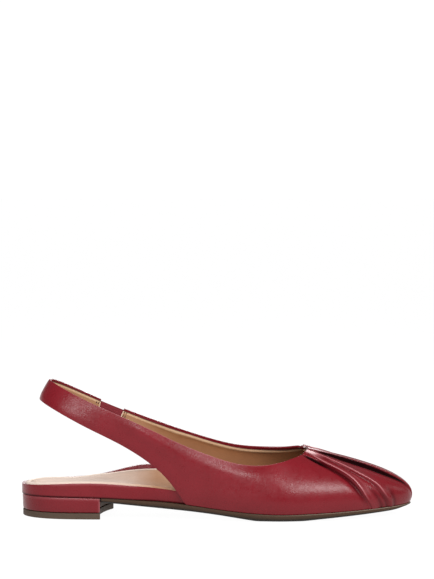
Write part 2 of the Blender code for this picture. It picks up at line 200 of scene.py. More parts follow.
HALF_WIDTH = {OUTER: column(OUTLINE, "angle", "outer"), INNER: column(OUTLINE, "angle", "inner")}
UNDER = column(PROFILE, "x", "under")
FEATHER = column(PROFILE, "x", "feather")
RIM = {OUTER: column(PROFILE, "x", "rim_outer"), INNER: column(PROFILE, "x", "rim_inner")}
DISH = column(PROFILE, "x", "dish")
CUT = column(REAR_CUT, "x", "z")
# Both sides meet at the toe and at the back, so every column but these two ends level there
SLOPING = ("angle", "top_y")
CROSS = {
    name: cubic_through(range(BACK + 1), values, name not in SLOPING) for name, values in CROSS_LINES.items()
}
print("sole thickness under the ball:", round(float(FEATHER(0.037)) / MM, 2), "mm")


# %% [markdown]
# ## Points on the last
# From the curves come the places that every piece needs: the centre line, the sole's outline, a line inset
# from it, and any point of the upper's outer face with its way out and its way along.

# %% Points on the last
def stacked(*values):
    return np.stack(np.broadcast_arrays(*values), axis=-1)


def unit(vectors):
    return vectors / np.linalg.norm(vectors, axis=-1, keepdims=True)


def centre_line(x):
    """The last curves: heel and toe lie further in than the waist."""
    toe = TOE_SWING * ((x - STRAIGHT_X) / (TOE_X - STRAIGHT_X)) ** 2
    heel = HEEL_SWING * ((STRAIGHT_X - x) / (STRAIGHT_X - HEEL_X)) ** 2
    return np.where(x > STRAIGHT_X, toe, heel)


def outline(angle, side):
    """The sole outline in plan: 90 degrees is the toe tip, 0 the ball and -90 the back of the heel."""
    angle = np.asarray(angle, float)
    reach = np.where(angle > 0, TOE_X - BALL_X[side], BALL_X[side] - HEEL_X)
    x = BALL_X[side] + reach * np.sin(np.radians(angle))
    return stacked(x, centre_line(x) + side * HALF_WIDTH[side](angle))


def outward(angle, side):
    along = outline(angle + 0.5, side) - outline(angle - 0.5, side)
    return unit(stacked(-along[..., 1], along[..., 0]) * side)


def inset_outline(angle, side, inset):
    inset = np.asarray(inset, float)
    return outline(angle, side) - outward(angle, side) * inset[..., None]


def upper_face(place, side, up):
    """The upper's outer face: place counts cross lines from the toe, up runs from the sole to the topline."""
    at = {name: curve(place) for name, curve in CROSS.items()}
    low = inset_outline(at["angle"], side, at["inset"])
    low_z = np.maximum(FEATHER(low[..., 0]) + SEAM, CUT(low[..., 0]))
    top = stacked(at["top_x"], centre_line(at["top_x"]) + side * at["top_y"])
    top_z = at["top_z"] + (at["inner_lift"] if side == INNER else 0.0)
    flared = low + outward(at["angle"], side) * at["flare"][..., None]
    crowned = top + (low - top) * at["crown"][..., None]
    corners = (
        stacked(low[..., 0], low[..., 1], low_z),
        stacked(flared[..., 0], flared[..., 1], low_z + at["rise"]),
        stacked(crowned[..., 0], crowned[..., 1], top_z - at["drop"]),
        stacked(top[..., 0], top[..., 1], top_z),
    )
    down = 1 - up
    shares = (down**3, 3 * down**2 * up, 3 * down * up**2, up**3)
    return sum(corner * share[..., None] for corner, share in zip(corners, shares))


def upper_frame(place, side, up):
    """A point of the outer face, the way out of the leather there and the way along it, towards the heel."""
    step = 0.01
    spot = upper_face(place, side, up)
    along = upper_face(place + step, side, up) - upper_face(place - step, side, up)
    rise = upper_face(place, side, np.minimum(up + step, 1)) - upper_face(place, side, np.maximum(up - step, 0))
    return spot, unit(np.cross(rise, along) * -side), unit(along)


toe_tip = upper_face(np.array([0.0]), OUTER, np.array([0.3]))[0]
print("toe of the upper in mm:", (toe_tip / MM).round(1).tolist())


# %% [markdown]
# ## How a piece is made
# A piece starts as a flat bmesh grid. Its vertices are then moved to where they belong on the last, and
# the ones that meet, at the toe tip or round a closed section, are merged. The grid keeps its own UV map,
# so that ribs or grain can follow the piece.

# %% Piece helpers
def mapped_grid(columns, rows, place, merge=True):
    """A grid of columns by rows, moved to place(u, v) with u and v from 0 to 1."""
    bm = bmesh.new()
    bm.loops.layers.uv.new("UVMap")
    bmesh.ops.create_grid(bm, x_segments=columns, y_segments=rows, size=0.5, calc_uvs=True)
    flat = np.array([vert.co[:2] for vert in bm.verts]) + 0.5
    for vert, spot in zip(bm.verts, place(flat[:, 0], flat[:, 1])):
        vert.co = spot
    if merge:
        bmesh.ops.remove_doubles(bm, verts=bm.verts, dist=1e-6)
    return bm


def close_solid(bm):
    """Fills open ends and turns every face outwards."""
    bmesh.ops.holes_fill(bm, edges=bm.edges, sides=0)
    bmesh.ops.recalc_face_normals(bm, faces=bm.faces)
    if bm.calc_volume(signed=True) < 0:
        bmesh.ops.reverse_faces(bm, faces=bm.faces)
    return bm


def mark_rim(bm):
    """Marks the open border, so that only it is rounded once the sheet has its thickness."""
    weight = bm.edges.layers.float.new("bevel_weight_edge")
    for edge in bm.edges:
        if edge.is_boundary:
            edge[weight] = 1.0


def store_marks(bm, marks):
    """Keeps numbers for the vertices under names that a finish can read."""
    for name, shares in marks.items():
        layer = bm.verts.layers.float.new(name)
        for vert, share in zip(bm.verts, shares):
            vert[layer] = float(share)


def link_new(name, data):
    made = bpy.data.objects.new(name, data)
    bpy.context.scene.collection.objects.link(made)
    return made


def mesh_object(name, bm, finish):
    mesh = bpy.data.meshes.new(name)
    bm.to_mesh(mesh)
    bm.free()
    mesh.materials.append(finish)
    return link_new(name, mesh)


def make_piece(name, bm, finish, node=None):
    made = mesh_object(name, bm, finish)
    made.data.shade_smooth()
    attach(made, "root")
    if node:
        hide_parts(node)
    print(name, len(made.data.polygons), "faces")
    return made


def bevel(made, name, limit, width):
    edge = made.modifiers.new(name, "BEVEL")
    edge.limit_method = limit
    edge.width = width
    edge.segments = 3
    edge.profile = 0.5
    return edge


def thicken(made, thickness, rounding):
    """A sheet gets its thickness inwards, and its rim is rounded."""
    wall = made.modifiers.new("thickness", "SOLIDIFY")
    wall.thickness = thickness
    wall.offset = -1.0
    wall.use_even_offset = False
    bevel(made, "rounded_rim", "WEIGHT", rounding)


def round_edges(made, width, angle=35):
    bevel(made, "rounded_edges", "ANGLE", width).angle_limit = math.radians(angle)


# %% [markdown]
# ## Finishes
# Every finish is made of nodes on Object coordinates, in metres: a noise of scale 1000 has features about
# a millimetre wide. Colours are mixed in layers, and bumps are stacked. Numbers stored on a piece's vertices
# steer where its finish changes, so that a painted highlight on an edge or painted shade in a seam lies
# exactly on its row of the mesh.

# %% Material helpers
def give(tree, socket, value):
    """Links another node's output to a socket, or sets a plain value on it."""
    if isinstance(value, bpy.types.NodeSocket):
        tree.links.new(value, socket)
    else:
        socket.default_value = value


def add_node(tree, kind, **values):
    """A new node with values for its inputs; _ stands for the space in an input's name."""
    made = tree.nodes.new("ShaderNode" + kind)
    for name, value in values.items():
        give(tree, made.inputs[name.replace("_", " ")], value)
    return made


def map_range(tree, source, low, high, to_low, to_high):
    return add_node(tree, "MapRange", Value=source, From_Min=low, From_Max=high, To_Min=to_low, To_Max=to_high)


class Finish:
    """One material's nodes. Its layers of colour start from first; colour is what a plain viewer shows."""

    def __init__(self, name, colour, roughness, specular, first=None):
        self.made = bpy.data.materials.new(name)
        self.made.use_nodes = True
        self.tree = self.made.node_tree
        self.shader = self.tree.nodes["Principled BSDF"]
        self.set("Base Color", (*colour, 1.0))
        self.set("Roughness", roughness)
        self.set("Specular IOR Level", specular)
        self.layers = (*(first or colour), 1.0)
        self.coordinates = self.node("TexCoord").outputs["Object"]

    def node(self, kind, **values):
        return add_node(self.tree, kind, **values)

    def set(self, socket, value):
        give(self.tree, self.shader.inputs[socket], value)

    def noise(self, scale, detail=3.0, stretch=None):
        vector = self.coordinates
        if stretch:
            vector = self.node("Mapping", Vector=vector, Scale=stretch).outputs["Vector"]
        return self.node("TexNoise", Vector=vector, Scale=scale, Detail=detail).outputs["Fac"]

    def pebbles(self, scale):
        made = self.node("TexVoronoi", Vector=self.coordinates, Scale=scale)
        made.feature = "SMOOTH_F1"
        made.inputs["Smoothness"].default_value = 0.6
        return made.outputs["Distance"]

    def along(self, axis):
        return self.node("SeparateXYZ", Vector=self.coordinates).outputs[axis]

    def mark(self, name):
        made = self.node("Attribute")
        made.attribute_name = name
        return made.outputs["Fac"]

    def ranged(self, source, low, high, to_low, to_high):
        return map_range(self.tree, source, low, high, to_low, to_high).outputs["Result"]

    def over(self, colour, share):
        """Lays a colour over the layers so far; share is a mark or another node's output."""
        made = self.node("Mix", Factor=share)
        made.data_type = "RGBA"
        below, above = (socket for socket in made.inputs if socket.type == "RGBA")
        give(self.tree, below, self.layers)
        above.default_value = (*colour, 1.0)
        self.layers = [socket for socket in made.outputs if socket.type == "RGBA"][0]
        self.set("Base Color", self.layers)

    def bump(self, *heights):
        """Stacks bumps; each is (height output, strength, depth in metres)."""
        below = {}
        for source, strength, depth in heights:
            made = self.node("Bump", Height=source, Strength=strength, Distance=depth, **below)
            below = {"Normal": made.outputs["Normal"]}
        self.set("Normal", below["Normal"])


# %% [markdown]
# ### Red leather
# Waxed calf with a fine pebbled grain and a soft sheen. Its red changes slowly from place to place and is
# deeper in small flecks; towards the sole it is darker, a painted shade. One mark paints highlights on the
# tops of the folds and on edges, up to bare glints at the throat, and another paints shade into the
# bottoms of the folds and into seams.

# %% Red leather
RED = (0.141, 0.0050, 0.0094)
RED_LIGHT = (0.163, 0.0074, 0.0130)
RED_FLECK_AND_SHADE = (0.092, 0.0033, 0.0058)
RED_PAINTED_SHADE = (0.010, 0.0010, 0.0014)
RED_PAINTED_HIGHLIGHT = (0.440, 0.165, 0.180)
RED_PAINTED_GLINT = (0.860, 0.690, 0.690)

red = Finish("red_leather", RED, 0.34, 0.30)
red.over(RED_LIGHT, red.ranged(red.noise(45, 4.0), 0.35, 0.65, 0.0, 1.0))
red.over(RED_FLECK_AND_SHADE, red.ranged(red.noise(420, 3.0), 0.50, 0.80, 0.0, 0.22))
# Painted shade: the red is darker towards the sole
red.over(RED_FLECK_AND_SHADE, red.ranged(red.along("Z"), 0.005, 0.024, 0.38, 0.0))
painted_highlight, painted_shade = red.mark("painted_highlight"), red.mark("painted_shade")
# Painted highlight on fold tops, the topline, the footbed rim and the heel's top edge
red.over(RED_PAINTED_HIGHLIGHT, painted_highlight)
# Painted glint: near white where the painted highlight is strongest, at the throat
red.over(RED_PAINTED_GLINT, red.ranged(painted_highlight, 0.62, 1.0, 0.0, 0.75))
# Painted shade in the bottoms of the folds, in the tucks and in the seam under the footbed
red.over(RED_PAINTED_SHADE, painted_shade)
red.set("Roughness", red.ranged(red.noise(300, 3.0), 0.3, 0.7, 0.25, 0.35))
red.set("Specular IOR Level", red.ranged(painted_shade, 0.0, 1.0, 0.26, 0.06))
red.bump(
    (red.noise(260, 2.0, (1.0, 1.0, 0.45)), 0.16, 0.0005),
    (red.pebbles(1000), 0.20, 0.00020),
    (red.noise(1500, 2.0, (1.0, 1.0, 0.3)), 0.15, 0.00014),
)

# %% [markdown]
# ### Lining, sock, elastic and thread
# These stay matt. The tan lining gets painted shade deep inside the vamp and painted light on the strap,
# a painted highlight along its folded edge, is pale at its raw ends, and is shaded where it meets the red
# leather. The suede sock turns from pale at the heel to tan at the waist, partly its own tone and partly
# painted shade from the quarter, with a painted highlight on the bead and painted shade in the groove
# along its inner edge.

# %% Lining, sock, elastic and thread
TAN, TAN_LIGHT = (0.219, 0.087, 0.032), (0.265, 0.113, 0.046)
TAN_DEEP_SHADE, TAN_PAINTED_LIGHT = (0.135, 0.050, 0.020), (0.68, 0.45, 0.28)
TAN_EDGE_HIGHLIGHT, TAN_RAW, TAN_SHADE = (0.52, 0.335, 0.20), (0.72, 0.56, 0.42), (0.06, 0.022, 0.012)
SUEDE, SUEDE_TAN_AND_SHADE, SUEDE_PATCH = (0.64, 0.52, 0.45), (0.335, 0.165, 0.080), (0.60, 0.455, 0.37)
SUEDE_NAP, SUEDE_BEAD_HIGHLIGHT, SUEDE_GROOVE_SHADE = (0.42, 0.27, 0.18), (0.80, 0.68, 0.58), (0.22, 0.11, 0.05)

lining = Finish("tan_lining", (0.242, 0.100, 0.039), 0.62, 0.3, TAN)
lining.over(TAN_LIGHT, lining.noise(140, 4.0))
# Painted shade deep inside the vamp
lining.over(TAN_DEEP_SHADE, lining.ranged(lining.along("X"), 0.005, 0.030, 0.0, 0.55))
# Painted light on the lining of the strap
lining.over(TAN_PAINTED_LIGHT, lining.ranged(lining.along("X"), -0.060, -0.038, 0.14, 0.0))
# Mark edge is a painted highlight on the folded top, raw the pale cut ends, shade painted shade
for colour, name in ((TAN_EDGE_HIGHLIGHT, "edge"), (TAN_RAW, "raw"), (TAN_SHADE, "shade")):
    lining.over(colour, lining.mark(name))
lining.bump((lining.pebbles(1500), 0.15, 0.00012), (lining.noise(2400, 2.0), 0.2, 0.00006))

sock = Finish("suede_sock", (0.60, 0.45, 0.35), 0.75, 0.3, SUEDE)
# Tan towards the waist: partly the sock's own tone, partly painted shade from the quarter
sock.over(SUEDE_TAN_AND_SHADE, sock.ranged(sock.along("X"), -0.086, -0.052, 0.0, 0.5))
sock.over(SUEDE_TAN_AND_SHADE, sock.ranged(sock.along("X"), -0.055, -0.040, 0.0, 1.0))
sock.over(SUEDE_PATCH, sock.ranged(sock.noise(70, 4.0), 0.3, 0.8, 0.0, 0.25))
sock.over(SUEDE_NAP, sock.ranged(sock.noise(1700, 2.0), 0.35, 0.7, 0.0, 0.2))
# Painted highlight on the bead and painted shade in the groove
sock.over(SUEDE_BEAD_HIGHLIGHT, sock.mark("bead_highlight"))
sock.over(SUEDE_GROOVE_SHADE, sock.mark("groove"))
sock.set("Sheen Weight", 0.12)
sock.set("Sheen Roughness", 0.5)
sock.bump((sock.noise(1500, 3.0), 0.25, 0.00012))

elastic = Finish("ribbed_elastic", (0.110, 0.010, 0.014), 0.85, 0.2, (0.125, 0.012, 0.017))
elastic.over((0.190, 0.024, 0.031), elastic.noise(1500, 2.0))
elastic.bump((elastic.noise(2200, 2.0), 0.5, 0.0001))

thread = Finish("brown_thread", (0.10, 0.045, 0.028), 0.7, 0.3)
red_thread = Finish("red_thread", (0.130, 0.008, 0.012), 0.6, 0.3)
for yarn in (thread, red_thread):
    yarn.bump((yarn.noise(3000, 2.0), 0.4, 0.00008))

# %% [markdown]
# ### Soles
# Brown rubber with a fine tooth. The upper lip of the sole gets a painted highlight towards the toe and its
# tread below is painted nearly black with shade, so the mesh carries a mark for each.

# %% Sole finishes
sole = Finish("brown_sole", (0.068, 0.038, 0.023), 0.66, 0.2, (0.039, 0.0195, 0.0100))
sole.over((0.058, 0.0310, 0.0175), sole.noise(600, 4.0))
# Painted highlight on the sole's upper lip
sole.over((0.27, 0.20, 0.155), sole.mark("lip"))
# Painted shade on the tread and the lower bevel
sole.over((0.010, 0.006, 0.004), sole.mark("tread_shade"))
sole.bump((sole.noise(1800, 3.0), 0.25, 0.0001), (sole.noise(220, 2.0, (1.0, 1.0, 4.0)), 0.15, 0.0002))

wear = Finish("brown_wear_piece", (0.070, 0.044, 0.029), 0.7, 0.3, (0.050, 0.031, 0.020))
wear.over((0.074, 0.048, 0.032), wear.noise(500, 4.0))
wear.bump((wear.noise(1600, 3.0), 0.3, 0.0001))
print(len(bpy.data.materials), "finishes")


# %% [markdown]
# ## Pleats of the vamp
# The leather is gathered at the throat into knife pleats that run down to the sole beside the toe. From
# the middle outwards they are: the edge of the centre panel, a second ridge, a full roll and the deep
# groove under that roll. Each runs along one line across the vamp, so the lines are given as places at a
# few heights, and how far each stands proud or sinks is given beside them. The shapes across a pleat are
# soft troughs and ridges in millimetres from its line. The strip of painted shade under the centre panel's
# edge narrows towards the toe, and a painted highlight lies where the leather is stretched over the throat.

# %% Pleat tables
PLEAT_LINES = table(
    "up fold ridge roll groove",
    (0.00, 0.26, 2.05, 2.90, 3.12),
    (0.12, 0.27, 2.26, 3.09, 3.21),
    (0.25, 0.32, 2.40, 3.19, 3.31),
    (0.40, 0.42, 2.48, 3.22, 3.35),
    (0.55, 0.58, 2.65, 3.23, 3.37),
    (0.70, 0.66, 2.72, 3.32, 3.45),
    (0.85, 0.84, 2.66, 3.37, 3.53),
    (1.00, 0.80, 2.20, 3.00, 3.50),
)
PLEAT_HEIGHTS = table(
    "up fold ridge roll groove spread",
    (0.00, 0.0, 0.40, 0.45, 0.3, 1.0),
    (0.12, 0.25, 0.80, 0.85, 0.8, 1.0),
    (0.25, 0.75, 1.05, 1.10, 1.2, 1.0),
    (0.40, 1.5, 1.20, 1.25, 1.6, 1.0),
    (0.55, 2.5, 1.25, 1.35, 1.9, 1.0),
    (0.70, 2.6, 1.20, 1.35, 2.0, 0.95),
    (0.85, 2.0, 1.05, 1.30, 1.9, 0.8),
    (0.95, 0.9, 0.80, 1.10, 1.3, 0.62),
    (1.00, 0.2, 0.55, 0.80, 0.4, 0.55),
)
PLEATS = ("fold", "ridge", "roll", "groove")
LINE = {name: column(PLEAT_LINES, "up", name) for name in PLEATS}
HEIGHT = {name: column(PLEAT_HEIGHTS, "up", name) for name in (*PLEATS, "spread")}

# Rows are millimetres from the pleat's line, towards the side, and the share of its height there
ACROSS = {
    "fold": (
        (-6.0, 0.2), (-0.9, 0.38), (-0.4, 0.15), (0.3, -0.95),
        (0.7, -1.0), (2.0, -0.85), (8.0, -0.35), (16.0, 0.0),
    ),
    "ridge": ((-6.5, 0.0), (-2.0, 0.72), (-0.4, 1.0), (0.5, 0.74), (1.5, 0.05), (2.4, -0.3), (5.0, 0.0)),
    "roll": ((-4.5, 0.0), (-1.8, 0.66), (-0.3, 1.0), (0.3, 0.84), (0.9, 0.15), (1.4, 0.0)),
    "groove": ((-1.4, 0.0), (-0.8, -0.35), (0.0, -1.0), (1.0, -0.95), (2.8, -0.45), (6.5, 0.0)),
}
# The edge of the centre panel and the roll hang over what lies beside them
SHOVE = {
    "fold": ((-3.0, 0.0), (-0.6, 0.35), (0.3, 0.05), (0.8, 0.0)),
    "roll": ((-1.4, 0.0), (0.1, 0.35), (1.0, 0.0)),
}
# Painted shade in the bottoms of the folds, once they are as deep as SHADE_GROWS says, in millimetres
SHADED = {
    "fold": ((-0.7, 0.0), (-0.3, 1.0), (1.5, 1.0), (3.4, 0.0)),
    "ridge": ((0.5, 0.0), (1.4, 0.4), (2.2, 0.35), (4.0, 0.0)),
    "groove": ((-1.3, 0.0), (-0.8, 0.45), (-0.2, 0.66), (1.0, 0.66), (2.6, 0.35), (4.2, 0.0)),
}
SHADE_GROWS = (0.3, 1.6)
# The painted shade strip beside the centre panel narrows to the toe: height on the vamp, share of its width
FOLD_NARROWS = ((0.2, 0.2), (0.4, 0.32), (0.55, 0.55), (0.72, 0.95), (0.9, 1.1))
# Painted highlights on the tops of the folds, above the heights given after the table
PAINTED_HIGHLIGHTS = {
    "ridge": ((-0.8, 0.0), (-0.2, 0.60), (0.2, 0.60), (0.5, 0.0)),
    "roll": ((-6.0, 0.0), (-4.0, 0.16), (-2.4, 0.04), (-0.9, 0.04), (-0.2, 0.55), (0.2, 0.55), (0.6, 0.0)),
}
HIGHLIGHT_FROM = (0.1, 0.35)
# Places on the topline where the gathered leather is stretched over the throat: a bright painted highlight
THROAT_HIGHLIGHT = ((0.30, 1.0), (0.55, 0.7), (0.75, 0.0), (1.75, 0.0), (2.15, 0.9), (2.65, 0.9), (3.05, 0.0))
THROAT_HIGHLIGHT_FROM = (0.86, 0.97)
# The painted shade in the folds is darker still towards the throat
THROAT_SHADE_DEEPER = 0.8
THROAT_SHADE_FROM = (0.68, 0.90)
# Small tucks where the pleats are gathered under at the sole: place at the sole, place at TUCK_TOP, depth and
# half width in millimetres
TUCKS = ((2.54, 2.82, 0.5, 1.2), (2.30, 2.58, 0.45, 1.1), (1.93, 2.05, 0.35, 1.3))
TUCK_TOP = 0.3
TUCK_FADES = (0.18, 0.42)
# How much painted shade lies in the tucks
TUCK_SHADED = 0.5
VAMP_END = 5.0
PLACE_LENGTH = 13.0
print("pleats:", ", ".join(PLEATS))

# %% [markdown]
# ## Soft edges
# Leather that is folded in at an edge turns in a little before it gets there: along the topline and, on the
# strap, along the lower edge. Between them the quarter and the front of the strap swell to a soft shoulder.

# %% Soft edges
TOP_TURN = 0.0003
TOP_TURN_FROM = 0.004
LOW_TURN = 0.0005
LOW_TURN_FROM = 0.005
SHOULDER = 0.0012
SHOULDER_SHAPE = ((0.0, 0.0), (0.38, 0.1), (0.76, 1.0), (1.04, 0.0))
# Places along the band where these start and end
TOP_TURN_STARTS = (4.0, 6.5)
LOW_TURN_STARTS = (10.0, 11.5)
SHOULDER_STARTS, SHOULDER_ENDS = (5.5, 7.5), (11.2, 12.8)


def cross_length(place, low, high):
    """The length of a cross line in metres, as measured between two heights on it."""
    ends = [upper_face(place, OUTER, np.full_like(place, up)) for up in (low, high)]
    return np.linalg.norm(ends[1] - ends[0], axis=-1) / (high - low)


def edge_turn(place, up):
    """How far the quarters and the strap turn in near their edges, less their soft shoulder, in metres."""
    below_top = (1 - up) * cross_length(place, 0.95, 1.0)
    above_low = up * cross_length(place, 0.0, 0.05)
    near_top = np.clip(1 - below_top / TOP_TURN_FROM, 0, 1) ** 2 * smooth_step(place, *TOP_TURN_STARTS)
    near_low = np.clip(1 - above_low / LOW_TURN_FROM, 0, 1) ** 2 * smooth_step(place, *LOW_TURN_STARTS)
    shoulder = eased(SHOULDER_SHAPE, up) * rise_and_fall(place, SHOULDER_STARTS, SHOULDER_ENDS)
    return TOP_TURN * near_top + LOW_TURN * near_low - SHOULDER * shoulder


# %% [markdown]
# ## Shape of the pleats
# All pleats are added up at once for a whole array of places: how far each point stands out or is shoved
# aside, and how much painted shade or painted highlight the leather gets there.

# %% Shape of the pleats
def pleat_distance(name, place, up):
    """Millimetres along the leather from a pleat's line, positive towards the side."""
    at = LINE[name](up)
    step = 0.01
    stretch = np.linalg.norm(upper_face(at + step, OUTER, up) - upper_face(at - step, OUTER, up), axis=-1)
    return (place - at) * stretch / (2 * step) / MM / HEIGHT["spread"](up)


def pleat_relief(place, up):
    """How far the leather stands out and is shoved aside, in metres, and its painted shade and painted
    highlight.
    """
    out, aside, shaded, highlighted = (np.zeros_like(place) for _ in range(4))
    for name in PLEATS:
        away = pleat_distance(name, place, up)
        height = np.maximum(HEIGHT[name](up), 0.0) * MM
        out += height * eased(ACROSS[name], away)
        if name in SHOVE:
            aside += height * eased(SHOVE[name], away)
        if name in SHADED:
            depth = smooth_step(HEIGHT[name](up), *SHADE_GROWS)
            deep = 1 + THROAT_SHADE_DEEPER * smooth_step(up, *THROAT_SHADE_FROM)
            strip = away / eased(FOLD_NARROWS, up) if name == "fold" else away
            shaded = np.maximum(shaded, np.minimum(deep * depth * eased(SHADED[name], strip), 1.0))
        if name in PAINTED_HIGHLIGHTS:
            proud = smooth_step(up, *HIGHLIGHT_FROM)
            highlighted = np.maximum(highlighted, proud * eased(PAINTED_HIGHLIGHTS[name], away))
    at_throat = smooth_step(up, *THROAT_HIGHLIGHT_FROM)
    highlighted = np.maximum(highlighted, eased(THROAT_HIGHLIGHT, place) * at_throat)
    for low, high, depth, half_width in TUCKS:
        away = (place - low - (high - low) * up / TUCK_TOP) * PLACE_LENGTH / half_width
        tuck = np.exp(-(away**2)) * (1 - smooth_step(up, *TUCK_FADES))
        out -= depth * MM * tuck
        shaded = np.maximum(shaded, TUCK_SHADED * tuck)
    return out, aside, shaded, highlighted


sample = np.linspace(0, VAMP_END, 400)
relief = pleat_relief(sample, np.full_like(sample, 0.7))[0] / MM
print("pleats reach from", relief.min().round(2), "to", relief.max().round(2), "mm")


# %% [markdown]
# ## Upper leather
# Vamp, quarters and strap are one band round the foot that is open at the elastic on the inner side. It is
# made as one grid: columns run along the band and rows from the sole to the topline. On the vamp the
# columns are bent to follow the pleat lines and crowd together beside them, so that each fold is crisp.
# The strap's front end is cut at a slant. A Solidify modifier gives the leather its thickness and a Bevel
# rounds its edges.

# %% Upper leather
LEATHER = 0.0012
LEATHER_ROUND = 0.00045
UPPER_ROWS = 60
BESIDE_PLEAT = (0.0, 0.012, 0.026, 0.042, 0.062, 0.088, 0.12, 0.16, 0.21, 0.27, 0.34, 0.42, 0.5)
BESIDE_ENDS = (0.0, 0.1, 0.2, 0.3, 0.4)
BAND_STEP = 0.1
# The topline gets a painted highlight along the quarter and the strap
TOP_HIGHLIGHT = 0.45
TOP_HIGHLIGHT_STARTS = (5.0, 7.0)


def vamp_columns():
    """Column places from the toe to the end of the vamp; whole numbers are the pleat lines."""
    places = {round(place, 4) for beside in BESIDE_ENDS for place in (beside, VAMP_END - beside)}
    for line in range(1, len(PLEATS) + 1):
        for beside in BESIDE_PLEAT:
            places |= {round(line - beside, 4), round(line + beside, 4)}
    return np.array(sorted(places))


def band_columns(vamp, first, last):
    """Places along the whole band, counted from the toe: the inner side is negative up to the toe."""
    quarter = np.arange(VAMP_END + BAND_STEP, BACK, BAND_STEP)
    inner_front = -quarter[quarter < -first - BAND_STEP / 2][::-1]
    rear = np.arange(BACK, last - BAND_STEP / 2, BAND_STEP)
    return np.concatenate([[first], inner_front, -vamp[::-1], vamp[1:], quarter, rear, [last]])


def column_place(places, u):
    """The place along the band of a column, for u from 0 to 1 over all columns."""
    return np.interp(u * (len(places) - 1), np.arange(len(places)), places)


def pleat_place(count, up):
    """Bends the vamp's columns so that whole numbers lie on the pleat lines."""
    knots = np.stack([0 * up, *(LINE[name](up) for name in PLEATS), 0 * up + VAMP_END])
    i = np.clip(np.floor(count).astype(int), 0, len(PLEATS))
    low = np.take_along_axis(knots, i[None], 0)[0]
    high = np.take_along_axis(knots, i[None] + 1, 0)[0]
    return np.where(count < VAMP_END, low + (high - low) * (count - i), count)


def on_band(along):
    """Splits a place along the band into a count of cross lines and whether it is on the outer side."""
    count = np.where(along > BACK, 2 * BACK - along, np.abs(along))
    return count, (along >= 0) & (along <= BACK)


def band_points(along, up, depth=0.0, pleated=True, shoved=True):
    """Points of the band, sunk below its pleated outer face by depth."""
    count, outer = on_band(along)
    place = pleat_place(count, up) if pleated else count
    out, aside, shaded, highlighted = pleat_relief(place, up)
    near = place < VAMP_END + 1
    out = np.where(near, out, 0.0) - edge_turn(place, up)
    aside = np.where(near & shoved, aside, 0.0)
    spots = []
    for side in (OUTER, INNER):
        spot, way_out, way_along = upper_frame(place, side, up)
        spots.append(spot + way_out * (out - depth)[..., None] + way_along * aside[..., None])
    # Painted highlight along the topline of the quarter and the strap
    highlit = TOP_HIGHLIGHT * (up > 0.999) * outer * smooth_step(place, *TOP_HIGHLIGHT_STARTS)
    marks = {"painted_shade": np.where(near, shaded, 0.0), "painted_highlight": np.where(near, highlighted, 0.0) + highlit}
    return np.where(outer[..., None], spots[0], spots[1]), marks


FRONT_SLANT = 0.35
SLANT_FROM = 11.2


def slanted(along, up):
    """The front end of the strap is cut at a slant, so that its lower corner lies further back."""
    near_end = np.clip((-along - SLANT_FROM) / (GORE_FRONT - SLANT_FROM), 0.0, 1.0)
    return along - FRONT_SLANT * (1 - up) * near_end


columns = band_columns(vamp_columns(), -GORE_FRONT, 2 * BACK - GORE_REAR)
leather_marks = {}


def place_leather(u, v):
    spots, marks = band_points(slanted(column_place(columns, u), v), v)
    leather_marks.update(marks)
    return spots


def make_band(name, bm, marks, finish, thickness, rounding, node=None):
    """A sheet of the band with its marks and its thickness."""
    store_marks(bm, marks)
    bmesh.ops.reverse_faces(bm, faces=bm.faces)
    mark_rim(bm)
    thicken(make_piece(name, bm, finish, node), thickness, rounding)


bm = mapped_grid(len(columns) - 1, UPPER_ROWS, place_leather, merge=False)
make_band("upper_leather", bm, leather_marks, red.made, LEATHER, LEATHER_ROUND, "upper")

# %% [markdown]
# ## Lining
# The tan lining is glued inside the leather. It stops two millimetres below the topline, where the red
# leather is folded in, a little less on the strap, and just above the strap's lower edge. A painted highlight
# on the folded edge and a soft ridge over the edge tape run along its top. At the elastic its front end is
# slanted with the strap and its rear end is cut square, and both show raw leather.

# %% Lining
LINING = 0.0006
LINING_ROUND = 0.00022
LINING_GLUE = 0.00005
LINING_BELOW_TOP = 0.0020
LINING_BELOW_STRAP = 0.0013
STRAP_STARTS = (11.5, 13.5)
LINING_ABOVE_EDGE = 0.0012
LINING_ROWS = 50
# The edge tape: distance of its middle below the topline, half width, height and the places where it runs
TAPE_BELOW = 0.0031
TAPE_HALF = 0.0011
TAPE_RIDGE = 0.0005
TAPE_STARTS = (5.5, 7.0)
TAPE_ENDS = (10.0, 11.5)
RAW_END = 0.03
SHADED_LINE = 0.0006
# How far below the lining's top the painted highlight on its folded edge reaches
EDGE_HIGHLIGHT_SPAN = (0.0011, 0.0019)

lining_columns = np.concatenate(
    [
        [-GORE_FRONT, RAW_END - GORE_FRONT],
        -np.arange(5.0, 12.25, 0.15)[::-1],
        np.arange(-4.95, 5.0, 0.05),
        np.arange(5.0, 18.80, 0.15),
        [2 * BACK - GORE_REAR - RAW_END, 2 * BACK - GORE_REAR],
    ]
)
lining_marks = {}


